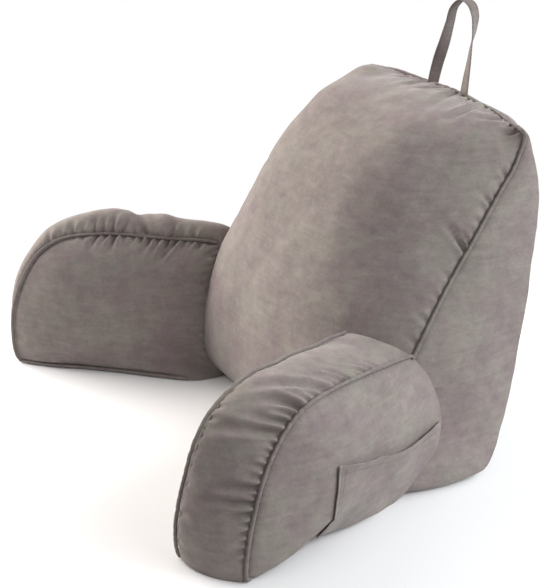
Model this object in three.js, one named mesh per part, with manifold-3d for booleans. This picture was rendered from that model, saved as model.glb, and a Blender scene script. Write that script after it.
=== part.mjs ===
// A reading pillow with arms: a leaning, wedge-shaped back cushion with a stuffed arm sewn to each side.
// Millimetres, +Z up. The front faces -Y, the middle is at x = 0, and it all rests on z = 0.
import * as THREE from 'three';
import { mergeVertices } from 'three/addons/utils/BufferGeometryUtils.js';
import Module from 'manifold-3d';

const wasm = await Module();
wasm.setup();

// ---------------------------------------------------------------- driving dimensions
const ORIGIN_BACK = 165.5;        // from the tables' own y = 0 to the middle of the whole pillow
const SEWN_GAP = 0.45;            // between two sewn pieces
const MERGE_WITHIN = 1e-4;        // corners this near are one
const PIPING_RADIUS = 2.3;
const PIPING_SIDES = 6;
const GROOVE_GAP = 0.6;           // round a piping
const ARM_PIPING_POINTS = 24;
const ARM_PIPING_STEPS = 24;
const BACK_PIPING_POINTS = 9;
const BACK_PIPING_STEPS = 42;
const BACK_PIPED_FROM = 3.9;      // the level in BACK_LEVELS where the back's piping starts
const BACK_PIPED_ACROSS = [0.92, 0.8, 0.6, 0.4, 0.2, 0, -0.2, -0.4, -0.6, -0.8, -0.92];
const BACK_MIDDLE = new THREE.Vector3(0, 60, 250);
const PIPING_FLOOR = 4;           // the height at which an arm's piping ends
const PIPING_PROUD = 0.8;         // how far a piping's middle stands out of its seam

// The back cushion, a row for each level from the floor to the top seam.
// skew: how much lower the level is at its right end than in the middle.
// half, seamY, seamZ: the side seam of the front panel. midY, midZ: the middle of the front panel.
// square: how boxy the front panel's crown is across. side: how far the side panel bulges.
// rearHalf, rearY, rearZ: the rear corner. rearMidY, rearMidZ: the middle of the rear panel.
const BACK_LEVELS = [
  { half: 300, seamY: -196, seamZ: 0, midY: -203, midZ: 0, square: 4, side: 17, skew: 0,
    rearHalf: 326, rearY: -30, rearZ: 0, rearMidY: 4, rearMidZ: 0 },
  { half: 314, seamY: -208, seamZ: 14, midY: -214, midZ: 14, square: 4, side: 14, skew: 0,
    rearHalf: 333, rearY: -12, rearZ: 14, rearMidY: 28, rearMidZ: 14 },
  { half: 309, seamY: -190, seamZ: 55, midY: -221, midZ: 62, square: 4, side: 14, skew: 0,
    rearHalf: 306, rearY: 18, rearZ: 55, rearMidY: 60, rearMidZ: 55 },
  { half: 291, seamY: -154, seamZ: 110, midY: -219, midZ: 125, square: 4, side: 12, skew: 0,
    rearHalf: 287, rearY: 46, rearZ: 110, rearMidY: 85, rearMidZ: 110 },
  { half: 272.6, seamY: -108.6, seamZ: 173, midY: -203, midZ: 195, square: 4, side: 10, skew: 0,
    rearHalf: 270, rearY: 76, rearZ: 173, rearMidY: 112, rearMidZ: 173 },
  { half: 257.5, seamY: -61, seamZ: 235, midY: -172, midZ: 268, square: 4, side: 9, skew: 0,
    rearHalf: 256, rearY: 95, rearZ: 235, rearMidY: 132, rearMidZ: 235 },
  { half: 241.7, seamY: -5, seamZ: 300, midY: -134, midZ: 342, square: 4, side: 7, skew: 0,
    rearHalf: 240, rearY: 112, rearZ: 300, rearMidY: 148, rearMidZ: 300 },
  { half: 227, seamY: 46, seamZ: 360, midY: -88, midZ: 405, square: 4, side: 5, skew: 1,
    rearHalf: 226, rearY: 122, rearZ: 360, rearMidY: 156, rearMidZ: 360 },
  { half: 215.5, seamY: 92, seamZ: 410, midY: -24, midZ: 452, square: 4, side: 3, skew: 3,
    rearHalf: 215, rearY: 124, rearZ: 410, rearMidY: 152, rearMidZ: 414 },
  { half: 209, seamY: 109, seamZ: 440, midY: 48, midZ: 465, square: 3.5, side: 1, skew: 5,
    rearHalf: 209, rearY: 119, rearZ: 440, rearMidY: 140, rearMidZ: 450 },
  { half: 206, seamY: 107, seamZ: 453, midY: 118, midZ: 460, square: 2, side: 0, skew: 5,
    rearHalf: 206, rearY: 112, rearZ: 453, rearMidY: 124, rearMidZ: 460 },
];
const BACK_STEPS = 20;            // rings from the floor to the top seam
const BACK_ACROSS = 18;           // steps across the front panel, and across the rear one
const BACK_SIDE_HALF = 2;         // points in each half of a side panel
const REAR_SQUARE = 4;            // how boxy the rear panel's crown is across

// An arm has its own frame: u forward along it, v outward, h up from the floor.
const ARM_X = 208.2;
const ARM_Y = -208.6;
const ARM_SPLAY = THREE.MathUtils.degToRad(24.1);
// The arm, a row for each place round its side outline, from the rear top over the front and
// back along the floor. inner and outer are the outlines of its two side panels. The band
// between them bulges by bulge, on the left arm by bulgeLeft.
const ARM_OUTLINE = [
  { innerU: -31, innerV: 12, innerH: 197, outerU: -65, outerV: 99, outerH: 173, bulge: 5, bulgeLeft: 24 },
  { innerU: 57, innerV: 17, innerH: 205, outerU: 27, outerV: 100, outerH: 188, bulge: 7, bulgeLeft: 32 },
  { innerU: 153, innerV: 18, innerH: 214, outerU: 114, outerV: 100, outerH: 195, bulge: 10, bulgeLeft: 38 },
  { innerU: 227, innerV: 17, innerH: 203, outerU: 190, outerV: 100, outerH: 188, bulge: 11, bulgeLeft: 30 },
  { innerU: 276, innerV: 13, innerH: 155, outerU: 245, outerV: 99, outerH: 141, bulge: 12, bulgeLeft: 18 },
  { innerU: 303, innerV: 5, innerH: 64, outerU: 274, outerV: 97, outerH: 69, bulge: 16, bulgeLeft: 13 },
  { innerU: 291, innerV: 0, innerH: 0, outerU: 281, outerV: 97, outerH: 0, bulge: 21, bulgeLeft: 12 },
  { innerU: 240, innerV: -19, innerH: 0, outerU: 237, outerV: 104, outerH: 0, bulge: 0, bulgeLeft: 0 },
  { innerU: 150, innerV: -40, innerH: 0, outerU: 150, outerV: 113, outerH: 0, bulge: 0, bulgeLeft: 0 },
  { innerU: 60, innerV: -70, innerH: 0, outerU: 66, outerV: 128, outerH: 0, bulge: 0, bulgeLeft: 0 },
  { innerU: 0, innerV: -82, innerH: 0, outerU: 20, outerV: 132, outerH: 0, bulge: 0, bulgeLeft: 0 },
  { innerU: -60, innerV: -60, innerH: 10, outerU: -20, outerV: 146, outerH: 30, bulge: 0, bulgeLeft: 0 },
  { innerU: -75, innerV: -45, innerH: 60, outerU: -57, outerV: 149, outerH: 63, bulge: 0, bulgeLeft: 0 },
  { innerU: -75, innerV: -20, innerH: 120, outerU: -77, outerV: 139, outerH: 107, bulge: 0, bulgeLeft: 0 },
  { innerU: -65, innerV: 0, innerH: 170, outerU: -75, outerV: 119, outerH: 147, bulge: 0, bulgeLeft: 0 },
];
const ARM_PIPED_ROWS = 6;         // the pipings follow the outline's first stretches
const ARM_AROUND = 40;
const ARM_CROWN_RINGS = [0.24, 0.5, 0.72, 0.88, 0.97];
const ARM_CROWN_POWER = 2.6;
const BAND_ROUNDNESS = 0.75;
const ARM_BAND_RINGS = [0.12, 0.34, 0.66, 0.88];
const INNER_MIDDLE = { u: 115, v: -50, h: 92 };
const OUTER_MIDDLE = { u: 92, v: 146, h: 90 };

// The pocket on the right arm's outer panel, a row for each place from its rear end to its
// front edge. low is where it is sewn in along the bottom, high is its open edge.
const POCKET_PLACES = [
  { lowU: -62, lowH: 79, highU: -64, highH: 93 },
  { lowU: -45, lowH: 56, highU: -42, highH: 92 },
  { lowU: -10, lowH: 33, highU: -6, highH: 91 },
  { lowU: 27, lowH: 12, highU: 30, highH: 93 },
  { lowU: 66, lowH: 7, highU: 64, highH: 98 },
  { lowU: 105, lowH: 7, highU: 98, highH: 106 },
  { lowU: 145, lowH: 8, highU: 131, highH: 114 },
  { lowU: 180, lowH: 12, highU: 161, highH: 121 },
];
const POCKET_THICK = 1.6;
const POCKET_LIFT = 1.15;         // from the arm to the sewn edges
const POCKET_GAPE = 1.8;          // how much further the open edge stands off the arm
const POCKET_GAPE_POWER = 4;      // the gape is all near the open edge
const POCKET_STEPS = 15;
const POCKET_ACROSS = 6;

// The handle, a row for each place along the strap, from its left end over the top to its right
// end. x, y, z: its middle line, seen from the middle of the back's top seam. turn: the degrees
// from +X to the direction in which its width lies.
const HANDLE_PLACES = [
  { x: -45, y: -1, z: -8, turn: 28 },
  { x: -45, y: 1, z: 8, turn: 32 },
  { x: -44, y: 7, z: 35, turn: 48 },
  { x: -41, y: 15, z: 62, turn: 75 },
  { x: -33, y: 21, z: 92, turn: 95 },
  { x: -23, y: 22, z: 115, turn: 100 },
  { x: -7, y: 25, z: 130, turn: 96 },
  { x: 12, y: 28, z: 122, turn: 97 },
  { x: 22, y: 28, z: 106, turn: 110 },
  { x: 30, y: 23, z: 89, turn: 126 },
  { x: 38, y: 13, z: 69, turn: 148 },
  { x: 43, y: 6, z: 46, turn: 160 },
  { x: 44, y: 2, z: 22, turn: 172 },
  { x: 44, y: 0, z: 4, turn: 178 },
  { x: 44, y: -1, z: -9, turn: 180 },
];
const HANDLE_WIDTH = 18;
const HANDLE_THICK = 2;
const HANDLE_STEPS = 30;

const VELVET = new THREE.MeshStandardMaterial({ color: 0x8a827c, roughness: 0.95, metalness: 0 });
const CORDED_VELVET = new THREE.MeshStandardMaterial({ color: 0x7b736e, roughness: 0.95, metalness: 0 });

// ---------------------------------------------------------------- tables and meshes
// 0 at both ends of a run, and 1 in its middle.
const hump = (g) => 4 * g * (1 - g);

// A curve through from and to, bent by the values on either side of them.
function smooth(before, from, to, after, t) {
  const a = 2 * from;
  const b = (to - before) * t;
  const c = (2 * before - 5 * from + 4 * to - after) * t * t;
  const d = (3 * from - before - 3 * to + after) * t * t * t;
  return (a + b + c + d) / 2;
}

// A row between two rows of a table, each column smoothed through its neighbours.
function rowAt(rows, place, closed = false) {
  const count = rows.length;
  const pick = (i) => rows[closed ? (i + count) % count : Math.min(Math.max(i, 0), count - 1)];
  const i = Math.min(Math.floor(place), closed ? count - 1 : count - 2);
  const row = {};
  for (const key of Object.keys(rows[0])) {
    row[key] = smooth(pick(i - 1)[key], pick(i)[key], pick(i + 1)[key], pick(i + 2)[key], place - i);
  }
  return row;
}

// A closed body from rings of points. Each end is a fan to a point, or is zipped shut,
// which joins a ring's first half to its second.
function loft(rings, firstPole, lastPole) {
  const around = rings[0].length;
  const points = rings.flat();
  const faces = [];
  for (let k = 0; k + 1 < rings.length; k += 1) {
    for (let i = 0; i < around; i += 1) {
      const j = (i + 1) % around;
      const [a, b] = [k * around + i, k * around + j];
      faces.push(a, b, b + around, a, b + around, a + around);
    }
  }
  const close = (start, pole, flip) => {
    const put = (a, b, c) => (flip ? faces.push(a, c, b) : faces.push(a, b, c));
    if (pole) {
      points.push(pole);
      for (let i = 0; i < around; i += 1) {
        put(start + i, points.length - 1, start + ((i + 1) % around));
      }
      return;
    }
    for (let i = 0; i + 1 < around / 2; i += 1) {
      const [a, b, c, d] = [i, i + 1, around - 2 - i, around - 1 - i].map((n) => start + n);
      put(a, c, b);
      put(a, d, c);
    }
  };
  close(0, firstPole, false);
  close((rings.length - 1) * around, lastPole, true);
  return geometryOf(points, faces);
}

function geometryOf(points, faces) {
  const geometry = new THREE.BufferGeometry();
  const corners = points.flatMap((point) => point.toArray());
  geometry.setAttribute('position', new THREE.Float32BufferAttribute(corners, 3));
  geometry.setIndex(faces);
  return geometry;
}

function solidOf(geometry) {
  const bare = geometry.clone();
  for (const name of Object.keys(bare.attributes)) {
    if (name !== 'position') bare.deleteAttribute(name);
  }
  const merged = mergeVertices(bare, MERGE_WITHIN);
  const vertProperties = new Float32Array(merged.attributes.position.array);
  const triVerts = new Uint32Array(merged.index.array);
  return new wasm.Manifold(new wasm.Mesh({ numProp: 3, vertProperties, triVerts }));
}

function geometryFrom(solid) {
  const mesh = solid.getMesh();
  const geometry = new THREE.BufferGeometry();
  geometry.setAttribute('position', new THREE.BufferAttribute(new Float32Array(mesh.vertProperties), 3));
  geometry.setIndex(new THREE.BufferAttribute(new Uint32Array(mesh.triVerts), 1));
  return geometry;
}

function tube(path, radius, steps, sides) {
  const section = new THREE.Shape();
  for (let i = 0; i < sides; i += 1) {
    const angle = (i / sides) * 2 * Math.PI;
    const [x, y] = [radius * Math.cos(angle), radius * Math.sin(angle)];
    if (i === 0) section.moveTo(x, y);
    else section.lineTo(x, y);
  }
  section.closePath();
  return new THREE.ExtrudeGeometry(section, { steps, extrudePath: path, bevelEnabled: false });
}

// The room that a piping takes in the cushions beside it.
function grooveFor(path, steps) {
  return solidOf(tube(path, PIPING_RADIUS + GROOVE_GAP, steps, PIPING_SIDES));
}

// A piping, a little shorter than its groove at both ends.
function pipingAlong(path, steps) {
  let piping = solidOf(tube(path, PIPING_RADIUS, steps, PIPING_SIDES));
  const cut = 2 * (PIPING_RADIUS + GROOVE_GAP);
  for (const end of [path.getPoint(0), path.getPoint(1)]) {
    piping = piping.subtract(solidOf(new THREE.BoxGeometry(cut, cut, cut).translate(end.x, end.y, end.z)));
  }
  return piping;
}

function piece(name, geometry, material) {
  const mesh = new THREE.Mesh(geometry, material);
  mesh.name = name;
  return mesh;
}

// ---------------------------------------------------------------- back cushion
function frontPoint(level, s) {
  const crown = 1 - Math.abs(s) ** level.square;
  const y = level.seamY + (level.midY - level.seamY) * crown;
  const z = level.seamZ + (level.midZ - level.seamZ) * crown - s * level.skew;
  return new THREE.Vector3(s * level.half, y, z);
}

function rearPoint(level, s) {
  const crown = 1 - Math.abs(s) ** REAR_SQUARE;
  const y = level.rearY + (level.rearMidY - level.rearY) * crown;
  const z = level.rearZ + (level.rearMidZ - level.rearZ) * crown - s * level.skew;
  return new THREE.Vector3(s * level.rearHalf, y, z);
}

function sidePoint(level, side, g) {
  const point = frontPoint(level, side).lerp(rearPoint(level, side), g);
  point.x += side * level.side * hump(g);
  return point;
}

function backRing(level) {
  const ring = [];
  const half = BACK_SIDE_HALF;
  const sideStep = (k) => (k + 0.5) / (2 * half);
  for (let k = half - 1; k >= 0; k -= 1) ring.push(sidePoint(level, -1, sideStep(k)));
  for (let i = 0; i <= BACK_ACROSS; i += 1) ring.push(frontPoint(level, (2 * i) / BACK_ACROSS - 1));
  for (let k = 0; k < 2 * half; k += 1) ring.push(sidePoint(level, 1, sideStep(k)));
  for (let i = BACK_ACROSS; i >= 0; i -= 1) ring.push(rearPoint(level, (2 * i) / BACK_ACROSS - 1));
  for (let k = 2 * half - 1; k >= half; k -= 1) ring.push(sidePoint(level, -1, sideStep(k)));
  return ring;
}

function backGeometry(grow = 0) {
  const rings = [];
  for (let k = 0; k <= BACK_STEPS; k += 1) {
    rings.push(backRing(rowAt(BACK_LEVELS, (k / BACK_STEPS) * (BACK_LEVELS.length - 1))));
  }
  const geometry = loft(rings);
  if (grow === 0) return geometry;
  geometry.computeVertexNormals();
  const { position, normal } = geometry.attributes;
  for (let i = 0; i < position.count; i += 1) {
    position.setXYZ(i, position.getX(i) + grow * normal.getX(i), position.getY(i) + grow * normal.getY(i),
      position.getZ(i) + grow * normal.getZ(i));
  }
  return geometry;
}

// ---------------------------------------------------------------- arms
function armPoint(side, u, v, h) {
  const x = ARM_X + u * Math.sin(ARM_SPLAY) + v * Math.cos(ARM_SPLAY);
  const y = ARM_Y - u * Math.cos(ARM_SPLAY) + v * Math.sin(ARM_SPLAY);
  return new THREE.Vector3(side * x, y, h);
}

const innerOf = (row) => ({ u: row.innerU, v: row.innerV, h: Math.max(row.innerH, 0) });
const outerOf = (row) => ({ u: row.outerU, v: row.outerV, h: Math.max(row.outerH, 0) });

function outlineRows() {
  const rows = [];
  for (let i = 0; i < ARM_AROUND; i += 1) {
    rows.push(rowAt(ARM_OUTLINE, (i / ARM_AROUND) * ARM_OUTLINE.length, true));
  }
  return rows;
}

// A side panel's ring: its outline drawn in towards its middle, which stands out as a crown.
function panelRing(outline, middle, r) {
  return outline.map((edge) => ({
    u: middle.u + r * (edge.u - middle.u),
    v: middle.v + r ** ARM_CROWN_POWER * (edge.v - middle.v),
    h: middle.h + r * (edge.h - middle.h),
  }));
}

function bandRing(rows, g, side) {
  const inner = rows.map(innerOf);
  const outer = rows.map(outerOf);
  return rows.map((row, i) => {
    const last = inner[(i + rows.length - 1) % rows.length];
    const next = inner[(i + 1) % rows.length];
    const run = Math.hypot(next.u - last.u, next.h - last.h);
    const out = (side > 0 ? row.bulge : row.bulgeLeft) * hump(g) ** BAND_ROUNDNESS;
    const u = inner[i].u + g * (outer[i].u - inner[i].u) - (out * (next.h - last.h)) / run;
    const v = inner[i].v + g * (outer[i].v - inner[i].v);
    const h = inner[i].h + g * (outer[i].h - inner[i].h) + (out * (next.u - last.u)) / run;
    return { u, v, h: Math.max(h, 0) };
  });
}

function armGeometry(side) {
  const rows = outlineRows();
  const inner = rows.map(innerOf);
  const outer = rows.map(outerOf);
  const rings = [
    ...ARM_CROWN_RINGS.map((r) => panelRing(inner, INNER_MIDDLE, r)),
    inner,
    ...ARM_BAND_RINGS.map((g) => bandRing(rows, g, side)),
    outer,
    ...[...ARM_CROWN_RINGS].reverse().map((r) => panelRing(outer, OUTER_MIDDLE, r)),
  ];
  const place = ({ u, v, h }) => armPoint(side, u, v, h);
  const placed = rings.map((ring) => ring.map(place));
  const poles = [place(INNER_MIDDLE), place(OUTER_MIDDLE)];
  if (side > 0) return loft(placed, ...poles);
  return loft(placed.map((ring) => [...ring].reverse()), ...poles);
}

// How much of the way from a panel's middle out to its edge its facets have dropped at radius r.
function dropAt(r) {
  const radii = [0, ...ARM_CROWN_RINGS, 1];
  const i = Math.max(radii.findIndex((radius) => radius >= r), 1);
  const [from, to] = [radii[i - 1], radii[i]];
  return THREE.MathUtils.mapLinear(r, from, to, from ** ARM_CROWN_POWER, to ** ARM_CROWN_POWER);
}

// Where a side view place (u, h) lies on an arm's outer panel.
function outerFace(u, h) {
  const outline = outlineRows().map(outerOf);
  const fromMiddle = (point) => [point.u - OUTER_MIDDLE.u, point.h - OUTER_MIDDLE.h];
  const [du, dh] = fromMiddle({ u, h });
  for (let i = 0; i < outline.length; i += 1) {
    const a = outline[i];
    const b = outline[(i + 1) % outline.length];
    const [au, ah] = fromMiddle(a);
    const [bu, bh] = fromMiddle(b);
    const spread = au * bh - ah * bu;
    const towardA = (du * bh - dh * bu) / spread;
    const towardB = (au * dh - ah * du) / spread;
    if (towardA >= 0 && towardB >= 0) {
      const r = towardA + towardB;
      const edgeV = (towardA * a.v + towardB * b.v) / r;
      return armPoint(1, u, OUTER_MIDDLE.v + dropAt(r) * (edgeV - OUTER_MIDDLE.v), h);
    }
  }
  throw new Error('off the outer panel');
}

function outerNormal(u, h) {
  const alongU = outerFace(u + 1, h).sub(outerFace(u - 1, h));
  const alongH = outerFace(u, h + 1).sub(outerFace(u, h - 1));
  return alongH.cross(alongU).normalize();
}

// ---------------------------------------------------------------- piping, pocket and handle
function armPipingPath(side, part) {
  const points = [];
  for (let k = 0; k <= ARM_PIPING_POINTS; k += 1) {
    const place = (k / ARM_PIPING_POINTS) * ARM_PIPED_ROWS;
    const { u, v, h } = part(rowAt(ARM_OUTLINE, place, true));
    const out = (part === innerOf ? -1 : 1) * PIPING_PROUD * Math.SQRT1_2;
    const from = Math.hypot(u - INNER_MIDDLE.u, h - INNER_MIDDLE.h) / (PIPING_PROUD * Math.SQRT1_2);
    const lifted = Math.max(h + (h - INNER_MIDDLE.h) / from, PIPING_FLOOR);
    points.push(armPoint(side, u + (u - INNER_MIDDLE.u) / from, v + out, lifted));
  }
  return new THREE.CatmullRomCurve3(points);
}

function backPipingPath() {
  const seam = [];
  const top = BACK_LEVELS.length - 1;
  for (let k = 0; k <= BACK_PIPING_POINTS; k += 1) {
    const place = BACK_PIPED_FROM + (k / BACK_PIPING_POINTS) * (top - BACK_PIPED_FROM);
    seam.push((s) => frontPoint(rowAt(BACK_LEVELS, place), s));
  }
  const points = [
    ...seam.map((at) => at(1)),
    ...BACK_PIPED_ACROSS.map((s) => frontPoint(BACK_LEVELS[top], s)),
    ...[...seam].reverse().map((at) => at(-1)),
  ];
  for (const point of points) point.addScaledVector(point.clone().sub(BACK_MIDDLE).normalize(), PIPING_PROUD);
  return new THREE.CatmullRomCurve3(points);
}

function handleGeometry() {
  const foot = frontPoint(BACK_LEVELS[BACK_LEVELS.length - 1], 0);
  const rows = [];
  for (let k = 0; k <= HANDLE_STEPS; k += 1) {
    rows.push(rowAt(HANDLE_PLACES, (k / HANDLE_STEPS) * (HANDLE_PLACES.length - 1)));
  }
  const middle = rows.map((row) => new THREE.Vector3(row.x, row.y, row.z).add(foot));
  const rings = rows.map((row, k) => {
    const along = middle[Math.min(k + 1, HANDLE_STEPS)].clone().sub(middle[Math.max(k - 1, 0)]).normalize();
    const turn = THREE.MathUtils.degToRad(row.turn);
    const across = new THREE.Vector3(Math.cos(turn), Math.sin(turn), 0);
    const out = along.clone().cross(across).normalize();
    across.copy(out).cross(along);
    const corner = (a, b) => middle[k].clone()
      .addScaledVector(across, (a * HANDLE_WIDTH) / 2)
      .addScaledVector(out, (b * HANDLE_THICK) / 2);
    return [corner(-1, -1), corner(1, -1), corner(1, 1), corner(-1, 1)];
  });
  return loft(rings);
}

function pocketGeometry() {
  const rings = [];
  for (let k = 0; k <= POCKET_STEPS; k += 1) {
    const row = rowAt(POCKET_PLACES, (k / POCKET_STEPS) * (POCKET_PLACES.length - 1));
    const outside = [];
    const inside = [];
    for (let i = 0; i <= POCKET_ACROSS; i += 1) {
      const g = i / POCKET_ACROSS;
      const [u, h] = [row.lowU + g * (row.highU - row.lowU), row.lowH + g * (row.highH - row.lowH)];
      const lift = POCKET_LIFT + POCKET_GAPE * g ** POCKET_GAPE_POWER;
      inside.unshift(outerFace(u, h).addScaledVector(outerNormal(u, h), lift));
      outside.push(outerFace(u, h).addScaledVector(outerNormal(u, h), lift + POCKET_THICK));
    }
    rings.push([...outside, ...inside]);
  }
  return loft(rings);
}

// ---------------------------------------------------------------- assembly
const pillow = new THREE.Group();
const backRoom = solidOf(backGeometry(SEWN_GAP));
const backPath = backPipingPath();
const backGroove = grooveFor(backPath, BACK_PIPING_STEPS);
const backPiping = pipingAlong(backPath, BACK_PIPING_STEPS);
const back = solidOf(backGeometry()).subtract(backGroove);
pillow.add(piece('back_cushion', geometryFrom(back), VELVET));
pillow.add(piece('back_piping', geometryFrom(backPiping), CORDED_VELVET));

for (const [name, side] of [['right', 1], ['left', -1]]) {
  let arm = solidOf(armGeometry(side)).subtract(backRoom).subtract(backGroove);
  for (const [seam, part] of [['inner', innerOf], ['outer', outerOf]]) {
    const path = armPipingPath(side, part);
    const piping = pipingAlong(path, ARM_PIPING_STEPS);
    arm = arm.subtract(grooveFor(path, ARM_PIPING_STEPS));
    const sewn = geometryFrom(piping.subtract(backRoom).subtract(backGroove));
    pillow.add(piece(`arm_${name}_${seam}_piping`, sewn, CORDED_VELVET));
  }
  pillow.add(piece(`arm_${name}`, geometryFrom(arm), VELVET));
}

const handle = solidOf(handleGeometry()).subtract(backRoom).subtract(backGroove);
pillow.add(piece('handle', geometryFrom(handle), VELVET));
pillow.add(piece('pocket', pocketGeometry(), VELVET));
pillow.position.y = ORIGIN_BACK;

export default pillow;
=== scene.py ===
# A reading pillow with arms: a leaning back cushion with a stuffed arm sewn to each side, in taupe velvet.
# Metres, +Z up, the front faces -Y. Tables of shape are in millimetres, as a pattern cutter writes them.
import math
import bpy
import numpy as np
from mathutils import Matrix, Vector
from mathutils.kdtree import KDTree


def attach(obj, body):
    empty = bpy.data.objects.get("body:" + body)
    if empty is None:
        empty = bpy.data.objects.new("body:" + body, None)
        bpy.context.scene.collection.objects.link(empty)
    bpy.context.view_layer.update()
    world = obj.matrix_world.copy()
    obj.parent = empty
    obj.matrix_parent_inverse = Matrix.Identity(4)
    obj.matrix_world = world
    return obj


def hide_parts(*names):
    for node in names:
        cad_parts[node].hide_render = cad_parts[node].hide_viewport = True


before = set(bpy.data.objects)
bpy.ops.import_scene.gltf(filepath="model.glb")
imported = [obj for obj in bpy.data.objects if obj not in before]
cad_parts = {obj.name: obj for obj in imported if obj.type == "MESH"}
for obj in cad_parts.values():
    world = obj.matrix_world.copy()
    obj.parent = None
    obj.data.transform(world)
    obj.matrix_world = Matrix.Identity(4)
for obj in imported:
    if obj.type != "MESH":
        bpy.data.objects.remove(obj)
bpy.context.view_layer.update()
MM = 0.001

# ---------------------------------------------------------------- camera
# A long lens, from the pillow's right and a little above it.
VIEW_AZIMUTH = math.radians(62.58)
VIEW_ELEVATION = math.radians(21.56)
VIEW_DISTANCE = 1.7906
VIEW_TARGET = Vector((0.118, -0.0711, 0.2333))
VIEW_LENS = 79.6                  # millimetres
VIEW_SENSOR = 36                  # the long side, in millimetres


def toward(azimuth, elevation):
    """The way out from the pillow at an azimuth from -Y towards +X, and an elevation."""
    flat = math.cos(elevation)
    return Vector((math.sin(azimuth) * flat, -math.cos(azimuth) * flat, math.sin(elevation)))


toward_camera = toward(VIEW_AZIMUTH, VIEW_ELEVATION)
bpy.ops.object.camera_add(
    location=VIEW_TARGET + VIEW_DISTANCE * toward_camera,
    rotation=toward_camera.to_track_quat("Z", "Y").to_euler(),
)
camera = bpy.context.object
camera.data.sensor_width = VIEW_SENSOR
camera.data.lens = VIEW_LENS
bpy.context.scene.camera = camera

# ---------------------------------------------------------------- floor and light
# A white studio: a pale floor that fades into the white surround some way off, a large key light low in
# front on the left, and weaker ones behind, on the left and on the right, which brush the side panels.
FLOOR_SIZE = 12
FLOOR_COLOUR = (0.83, 0.83, 0.835, 1)
FLOOR_FADES = (0.42, 0.9)          # metres from the middle
SURROUND_LIGHT = 0.4
SURROUND_SEEN = 1.0
LIT_POINT = Vector((0, 0, 0.2))
LIGHT_DISTANCE = 2.5
LIGHT_SIZE = 1.5
STUDIO_LIGHTS = [
    # name, azimuth from -Y towards +X and elevation in degrees, power in watts, colour
    ("key", -54, 21, 112, (1.0, 0.955, 0.915)),
    ("rear", 180, 24, 38, (0.93, 0.985, 1.0)),
    ("side", 135, 28, 42, (0.93, 0.97, 1.0)),
    ("left", -90, 45, 15, (1.0, 0.88, 0.76)),
    ("fill", 110, 32, 17, (0.97, 0.95, 0.97)),
]

bpy.ops.mesh.primitive_plane_add(size=FLOOR_SIZE)
floor = bpy.context.object
floor.name = "studio_floor"
pale = bpy.data.materials.new("studio_white")
pale.use_nodes = True
nodes, links = pale.node_tree.nodes, pale.node_tree.links
shader = nodes["Principled BSDF"]
shader.inputs["Base Color"].default_value = FLOOR_COLOUR
shader.inputs["Roughness"].default_value = 0.9
shader.inputs["Specular IOR Level"].default_value = 0.1
place = nodes.new("ShaderNodeTexCoord")
far = nodes.new("ShaderNodeVectorMath")
far.operation = "LENGTH"
fade = nodes.new("ShaderNodeMapRange")
fade.interpolation_type = "SMOOTHSTEP"
fade.inputs["From Min"].default_value, fade.inputs["From Max"].default_value = FLOOR_FADES
clear = nodes.new("ShaderNodeBsdfTransparent")
blend = nodes.new("ShaderNodeMixShader")
links.new(place.outputs["Object"], far.inputs[0])
links.new(far.outputs["Value"], fade.inputs["Value"])
links.new(fade.outputs["Result"], blend.inputs[0])
links.new(shader.outputs[0], blend.inputs[1])
links.new(clear.outputs[0], blend.inputs[2])
links.new(blend.outputs[0], nodes["Material Output"].inputs["Surface"])
floor.data.materials.append(pale)

surround = bpy.data.worlds.new("studio_surround")
surround.use_nodes = True
nodes, links = surround.node_tree.nodes, surround.node_tree.links
lighting = nodes["Background"]
lighting.inputs["Color"].default_value = (1, 1, 1, 1)
lighting.inputs["Strength"].default_value = SURROUND_LIGHT
seen = nodes.new("ShaderNodeBackground")
seen.inputs["Color"].default_value = (1, 1, 1, 1)
seen.inputs["Strength"].default_value = SURROUND_SEEN
ray = nodes.new("ShaderNodeLightPath")
blend = nodes.new("ShaderNodeMixShader")
links.new(ray.outputs["Is Camera Ray"], blend.inputs[0])
links.new(lighting.outputs[0], blend.inputs[1])
links.new(seen.outputs[0], blend.inputs[2])
links.new(blend.outputs[0], nodes["World Output"].inputs["Surface"])
bpy.context.scene.world = surround
bpy.context.scene.view_settings.view_transform = "Standard"

for name, azimuth, elevation, watts, colour in STUDIO_LIGHTS:
    way = toward(math.radians(azimuth), math.radians(elevation))
    bpy.ops.object.light_add(
        type="AREA",
        location=LIT_POINT + LIGHT_DISTANCE * way,
        rotation=way.to_track_quat("Z", "Y").to_euler(),
    )
    light = bpy.context.object
    light.name = f"{name}_light"
    light.data.size = LIGHT_SIZE
    light.data.energy = watts
    light.data.color = colour

# ---------------------------------------------------------------- back cushion
# A leaning wedge of taupe velvet, stuffed hard: a crowned front panel, two side panels and a rear panel.
# The cover is cut fuller than its seams, so it gathers where it is sewn to the piping.
BACK_LEVELS = [
    # half, seam y, z | middle y, z | square, side, skew | rear half, y, z | rear middle y, z
    (296, -181, 0, -187, 0, 4, 17, 0, 322, -33, 0, -3, 0),
    (314, -208, 14, -214, 14, 4, 14, 0, 333, -12, 14, 28, 14),
    (309, -190, 55, -221, 62, 4, 14, 0, 306, 18, 55, 60, 55),
    (291, -154, 110, -219, 125, 4, 12, 0, 287, 46, 110, 85, 110),
    (272.6, -108.6, 173, -203, 195, 4, 10, 0, 270, 76, 173, 112, 173),
    (257.5, -61, 235, -172, 268, 4, 9, 0, 256, 95, 235, 132, 235),
    (241.7, -5, 300, -134, 342, 4, 7, 0, 240, 112, 300, 148, 300),
    (227, 46, 360, -88, 405, 4, 5, 1, 226, 122, 360, 156, 360),
    (215.5, 92, 410, -24, 452, 4, 3, 3, 215, 124, 410, 152, 414),
    (209, 109, 440, 48, 465, 3.5, 1, 5, 209, 119, 440, 140, 450),
    (206, 107, 453, 118, 460, 2, 0, 5, 206, 112, 453, 124, 460),
]
TABLE_TO_FRAME_Y = 165.5          # the tables' y = 0 in the frame, in millimetres
REAR_SQUARE = 4
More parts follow.
